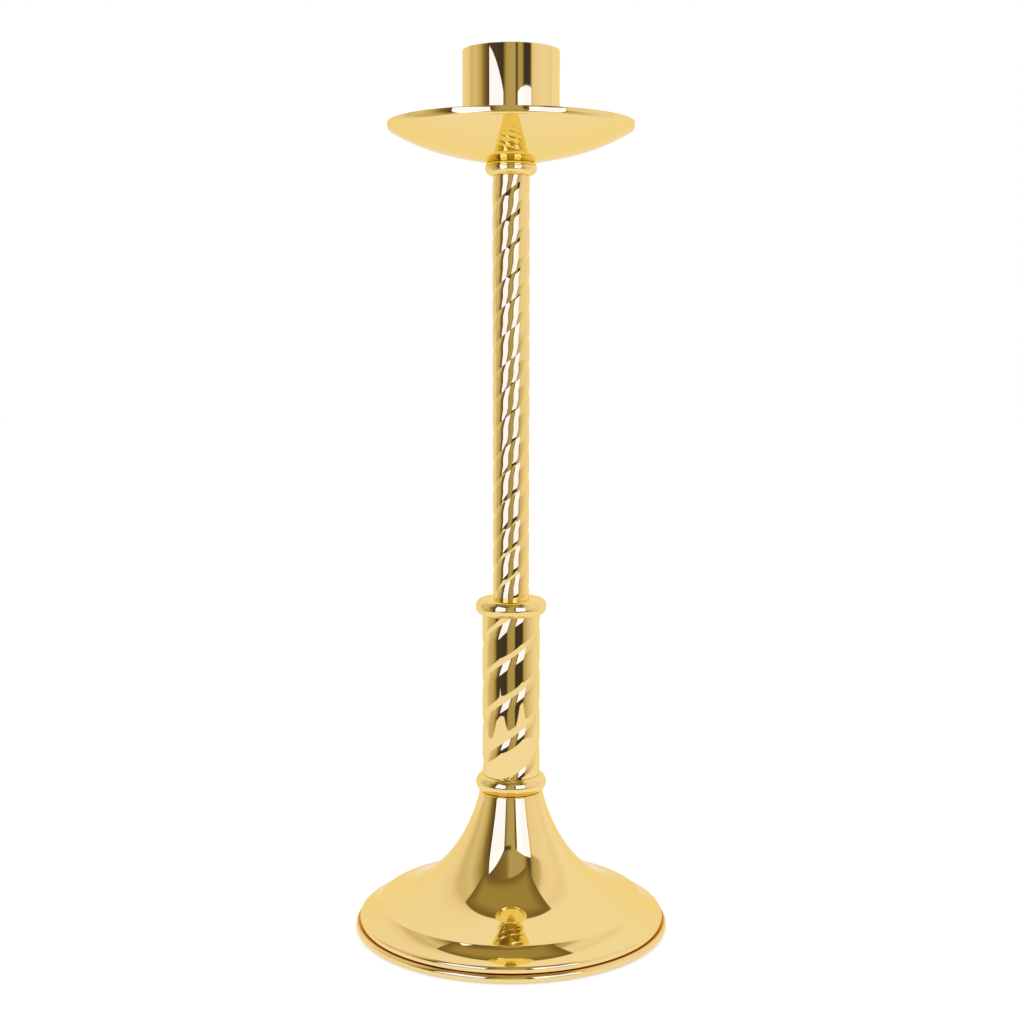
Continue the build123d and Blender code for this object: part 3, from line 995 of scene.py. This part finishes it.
# The room's colour for each brightness short of white
TINTS = {
    0.0: (0.02, 0.017, 0.02), 0.05: (0.052, 0.042, 0.045), 0.16: (0.20, 0.136, 0.062),
    0.30: (0.345, 0.25, 0.10), 0.41: (0.44, 0.34, 0.20), 0.56: (0.58, 0.465, 0.36),
    0.66: (0.66, 0.548, 0.42), 0.84: (0.85, 0.697, 0.69),
}


class SetStage(Operator):
    """Sets the pale floor, the two light panels, the room that the brass mirrors and the camera"""

    bl_idname = "holder.set_stage"
    bl_label = "Studio"

    def execute(self, context):
        studio = context.scene.candle_holder.studio
        context.scene.view_settings.view_transform = "Standard"
        self.floor(studio)
        for name, measures in PANELS.items():
            self.panel(name, studio, *measures)
        self.room(context, studio)
        self.camera(context, studio)
        return {"FINISHED"}

    def floor(self, studio):
        """The pale floor. The brass mirrors an evenly white table top in its place."""
        material, shader = surface("pale_floor")
        grain = noise(place_on(material), 300.0, 3.0)
        fill(shader, {
            "Base Color": grain.blend(studio.floor, shade(studio.floor, 0.985)),
            "Roughness": 0.7,
            "Specular IOR Level": 0.2,
            "Emission Color": opaque(studio.floor),
            "Emission Strength": studio.floor_glow,
        })
        reach = studio.floor_reach
        ground = self.sheet("pale_floor", material, reach, reach, reach)
        ground.visible_glossy = False
        material, shader = surface("mirrored_table")
        fill(shader, {
            "Base Color": opaque((0, 0, 0)),
            "Specular IOR Level": 0.0,
            "Emission Color": opaque(studio.white),
            "Emission Strength": 1.0,
        })
        reach = studio.table_reach
        table = self.sheet("mirrored_table", material, reach, studio.table_front, reach)
        table.visible_camera = False
        table.visible_diffuse = False
        table.visible_shadow = False

    def sheet(self, name, material, aside, front, back):
        """A flat sheet on the ground, from its reach to each side, to the front and to the back."""
        mesh = bpy.data.meshes.new(name)
        corners = [(-aside, -front, 0), (aside, -front, 0), (aside, back, 0), (-aside, back, 0)]
        mesh.from_pydata(corners, [], [(0, 1, 2, 3)])
        mesh.materials.append(material)
        ground = linked(name, mesh)
        return ground

    def panel(self, name, studio, one, other, bottom, top):
        """An upright light panel between two places, the left one first. It faces the stem."""
        ends = [Vector((sin(radians(a)) * d, -cos(radians(a)) * d, 0)) for a, d in (one, other)]
        along = (ends[1] - ends[0]).normalized()
        upright = Vector((0, 0, 1))
        away = along.cross(upright)
        middle = (ends[0] + ends[1]) / 2 + upright * (bottom + top) / 2
        light = bpy.data.lights.new(name, "AREA")
        light.shape = "RECTANGLE"
        light.size = (ends[1] - ends[0]).length
        light.size_y = top - bottom
        light.color = studio.panel_tint
        light.energy = studio.panel * pi * light.size * light.size_y
        lamp = linked(name, light)
        stance = Matrix((along, upright, away)).transposed().to_4x4()
        lamp.matrix_world = Matrix.Translation(middle) @ stance
        lamp.visible_camera = False
        lamp.visible_diffuse = False

    def room(self, context, studio):
        """White all round, but polished metal mirrors a room: dim in front, pale at the sides and back."""
        world = bpy.data.worlds.new("studio_room")
        context.scene.world = world
        world.use_nodes = True
        tree = world.node_tree
        start = Wire(tree)
        east, north, up = start.node("ShaderNodeTexCoord", out="Generated").parts()
        azimuth = start.maths("ARCTAN2", east, -1 * north) * (180 / pi)
        height = start.maths("ARCSINE", up) * (180 / pi)
        below, walls, above = (self.tones(azimuth, stops) for stops in (BELOW_TONES, WALL_TONES, ABOVE_TONES))
        # Far below the panels the ground is olive all round.
        below = start.maths("MAXIMUM", below, height.ease(-27, -19, 0.34, 0.0))
        over, under = height.ease(37.5, 40), height.ease(-0.5, 0.5, 1.0, 0.0)
        tone = walls * (1 - over) * (1 - under) + above * over + below * under
        # A short dark seam where the wall in front ends
        across_seam = azimuth.ease(-22, -18) * azimuth.ease(-2, 2, 1.0, 0.0)
        seam = across_seam * height.ease(36, 38) * height.ease(38.5, 41, 1.0, 0.0)
        # A dim opening in the ceiling: the least of the distances in from its four edges
        lift = start.maths("MAXIMUM", up, 0.001)
        aside, toward = east / lift, -1 * north / lift
        from_back, from_front = toward + 0.215, 0.575 + 0.25 * aside - toward
        from_left, from_right = aside + 0.642 + 0.387 * toward, 0.455 + 0.195 * toward - aside
        ends = start.maths("MINIMUM", from_back, from_front)
        sides = start.maths("MINIMUM", from_left, from_right)
        inward = start.maths("MINIMUM", ends, sides)
        opening = inward.ease(-0.01, 0.02)
        tone = tone * (1 - 0.85 * seam) * (1 - opening) + inward.ease(0.0, 0.25, 0.15, 0.31) * opening
        tint = tone.ramp({**TINTS, 1.0: studio.white})
        glossy = start.node("ShaderNodeLightPath", out="Is Glossy Ray")
        camera = start.node("ShaderNodeLightPath", out="Is Camera Ray")
        white = camera.blend((studio.dome, studio.dome, studio.dome), (1.0, 1.0, 1.0))
        fill(tree.nodes["Background"], {"Color": glossy.blend(white, tint)})
        # Light is only looked for where a ray goes, as each kind of ray sees a room of its own.
        world.cycles.sampling_method = "NONE"

    def tones(self, azimuth, stops):
        """A brightness that runs through given stops round the room, in degrees from the front."""
        return (azimuth / 360 + 0.5).ramp({degree / 360 + 0.5: tone for degree, tone in stops.items()})

    def camera(self, context, studio):
        """The camera, level with the stem and tilted down a little."""
        data = bpy.data.cameras.new("studio_camera")
        data.lens = studio.lens
        data.sensor_width = studio.sensor
        camera = linked("studio_camera", data)
        camera.location = (studio.aside, -studio.distance, studio.eye)
        camera.rotation_euler = (pi / 2 - studio.tilt, 0, 0)
        context.scene.camera = camera


class HolderPanel(Panel):
    """The candle holder's sizes, finishes and steps"""

    bl_idname = "VIEW3D_PT_candle_holder"
    bl_label = "Candle Holder"
    bl_space_type = "VIEW_3D"
    bl_region_type = "UI"
    bl_category = "Candle Holder"

    def draw(self, context):
        settings = context.scene.candle_holder
        for step in STEPS:
            self.layout.operator(step.bl_idname)
        for part in HolderSettings.__annotations__:
            box = self.layout.box()
            box.label(text=part.capitalize())
            group = getattr(settings, part)
            for key in group.__annotations__:
                box.prop(group, key)


STEPS = (MakeFoot, MakeStem, MakeCollars, MakePan, MakeSocket, MakeFelt, MakeHardware, SetStage)
GROUPS = (
    FootSizes, TwistSizes, CollarSizes, PanSizes, SocketSizes, RodSizes, Finishes, StudioSettings,
    HolderSettings,
)
CLASSES = (*GROUPS, *STEPS, HolderPanel)


def register():
    for each in CLASSES:
        bpy.utils.register_class(each)
    bpy.types.Scene.candle_holder = PointerProperty(type=HolderSettings)


def unregister():
    del bpy.types.Scene.candle_holder
    for each in reversed(CLASSES):
        bpy.utils.unregister_class(each)


def main():
    """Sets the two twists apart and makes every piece."""
    register()
    settings = bpy.context.scene.candle_holder
    sleeve, shaft = settings.sleeve, settings.shaft
    sleeve.lead, sleeve.depth, sleeve.front, sleeve.wall = 77.6 * MM, 0.9 * MM, 154.4 * MM, 1.5 * MM
    sleeve.upper_crest, sleeve.lower_crest = 0.42, 0.63
    shaft.lead, shaft.depth, shaft.front, shaft.wall = 52.8 * MM, 0.6 * MM, 475.3 * MM, 1.4 * MM
    shaft.lobes = (0.31, 0.336, 0.354)
    for step in STEPS:
        family, name = step.bl_idname.split(".")
        getattr(getattr(bpy.ops, family), name)()


if __name__ == "__main__":
    main()
